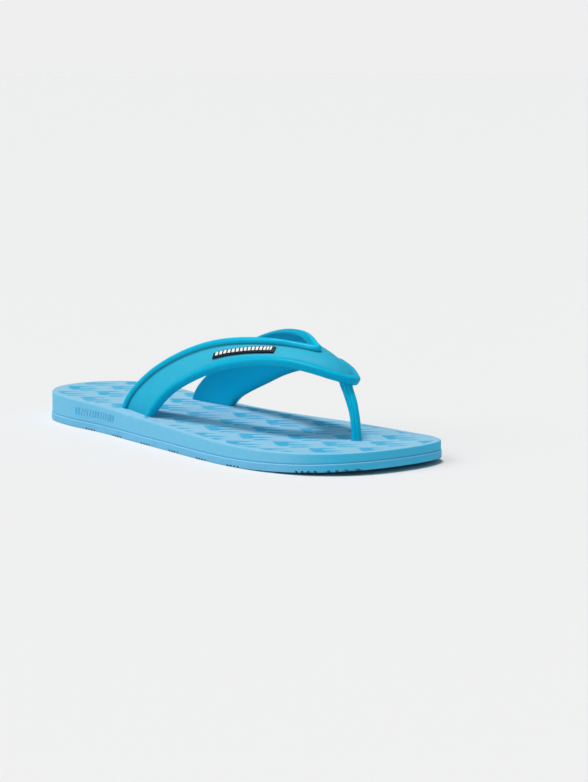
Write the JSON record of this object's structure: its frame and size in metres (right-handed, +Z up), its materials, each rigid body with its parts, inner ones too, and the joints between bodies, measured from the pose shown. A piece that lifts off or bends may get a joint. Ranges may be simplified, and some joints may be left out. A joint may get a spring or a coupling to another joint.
{
  "type": "flip flop",
  "caption": "Right-foot flip flop: a flat two-layer sole that flexes at the toe joint, with a moulded Y-shaped strap held by a toe post.",
  "frame": {"origin": "on the ground, under the middle of the sole", "axes": "+X to the toe, +Y to the inner (medial) side of the right foot, +Z up"},
  "size_m": [0.2848, 0.1071, 0.0648],
  "materials": {
    "outsole": "matt moulded",
    "footbed": "matt foamed, with a tone-on-tone print",
    "strap": "satin moulded",
    "badge": "satin",
    "badge_mark": "satin"
  },
  "bodies": {
    "sole": {"outsole_rear": "outsole", "footbed_rear": "footbed"},
    "forefoot": {"outsole_front": "outsole", "footbed_front": "footbed", "toe_plug": "strap"},
    "thong": {"strap": "strap", "toe_post": "strap", "badge_plate": "badge", "badge_inlay": "badge_mark"}
  },
  "joints": [
    {"name": "toe_flex", "type": "hinge", "parent": "sole", "child": "forefoot", "pos_m": [0.084, 0, 0.0127], "axis": [0, -1, 0], "range_deg": [0, 30], "stiffness_Nm_per_rad": 0.7},
    {"name": "strap_lift", "type": "hinge", "parent": "sole", "child": "thong", "pos_m": [-0.036, 0, 0.0145], "axis": [0, -1, 0], "range_deg": [0, 4.5], "deforming": ["strap", "toe_post"]}
  ],
  "couplings": [
    {"joint": "strap_lift", "follows": "toe_flex", "ratio": 0.144}
  ]
}
